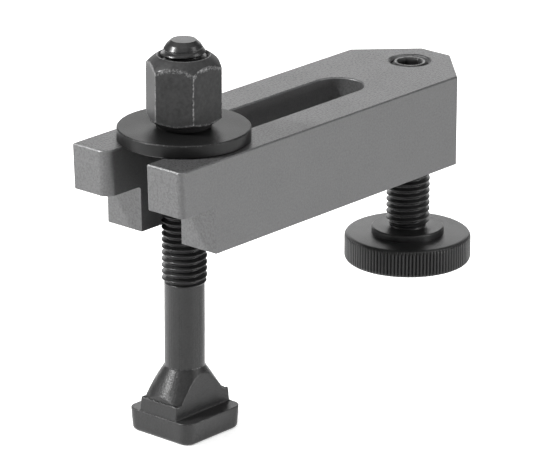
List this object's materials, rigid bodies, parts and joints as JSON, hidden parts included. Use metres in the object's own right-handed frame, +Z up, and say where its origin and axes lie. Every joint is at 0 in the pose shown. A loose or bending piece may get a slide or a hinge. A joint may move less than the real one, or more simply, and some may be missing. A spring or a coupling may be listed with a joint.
{
  "type": "forked strap clamp",
  "caption": "Forked strap clamp held by a T-slot bolt, washer and tall nut, levelled at its rear by a screw with a knurled foot.",
  "frame": {"origin": "on the T-slot bolt's axis, at the underside of its square head", "axes": "+Z up the bolt, +X along the clamp bar towards its rear end with the support screw"},
  "size_m": [0.1312, 0.038, 0.1072],
  "materials": {
    "milled_steel": "fine milled and blasted steel, satin grey",
    "forged_steel": "black oxide over forged and rolled steel, slightly worn",
    "washer_steel": "turned steel with thin black oxide",
    "nut_steel": "black oxide, bright on worn corners",
    "screw_steel": "black oxide over turned and knurled steel"
  },
  "bodies": {
    "t_slot_bolt": {"t_slot_bolt": "forged_steel"},
    "clamp_bar": {"clamp_bar": "milled_steel"},
    "washer": {"washer": "washer_steel"},
    "clamp_nut": {"clamp_nut": "nut_steel"},
    "support_screw": {"support_screw": "screw_steel"}
  },
  "joints": [
    {"name": "bar_slide", "type": "slide", "parent": "t_slot_bolt", "child": "clamp_bar", "axis": [1, 0, 0], "range_m": [-0.061, 0.012]},
    {"name": "foot_travel", "type": "slide", "parent": "clamp_bar", "child": "support_screw", "axis": [0, 0, 1], "range_m": [-0.01225, 0.021]},
    {"name": "washer_lift", "type": "slide", "parent": "t_slot_bolt", "child": "washer", "axis": [0, 0, 1], "range_m": [0, 0.01575]},
    {"name": "nut_turn", "type": "hinge", "parent": "washer", "child": "clamp_nut", "pos_m": [0, 0, 0.0936], "axis": [0, 0, 1], "range_deg": [0, 3241]}
  ],
  "couplings": [
    {"joint": "nut_turn", "follows": "washer_lift", "rad_per_m": 3590.4}
  ]
}
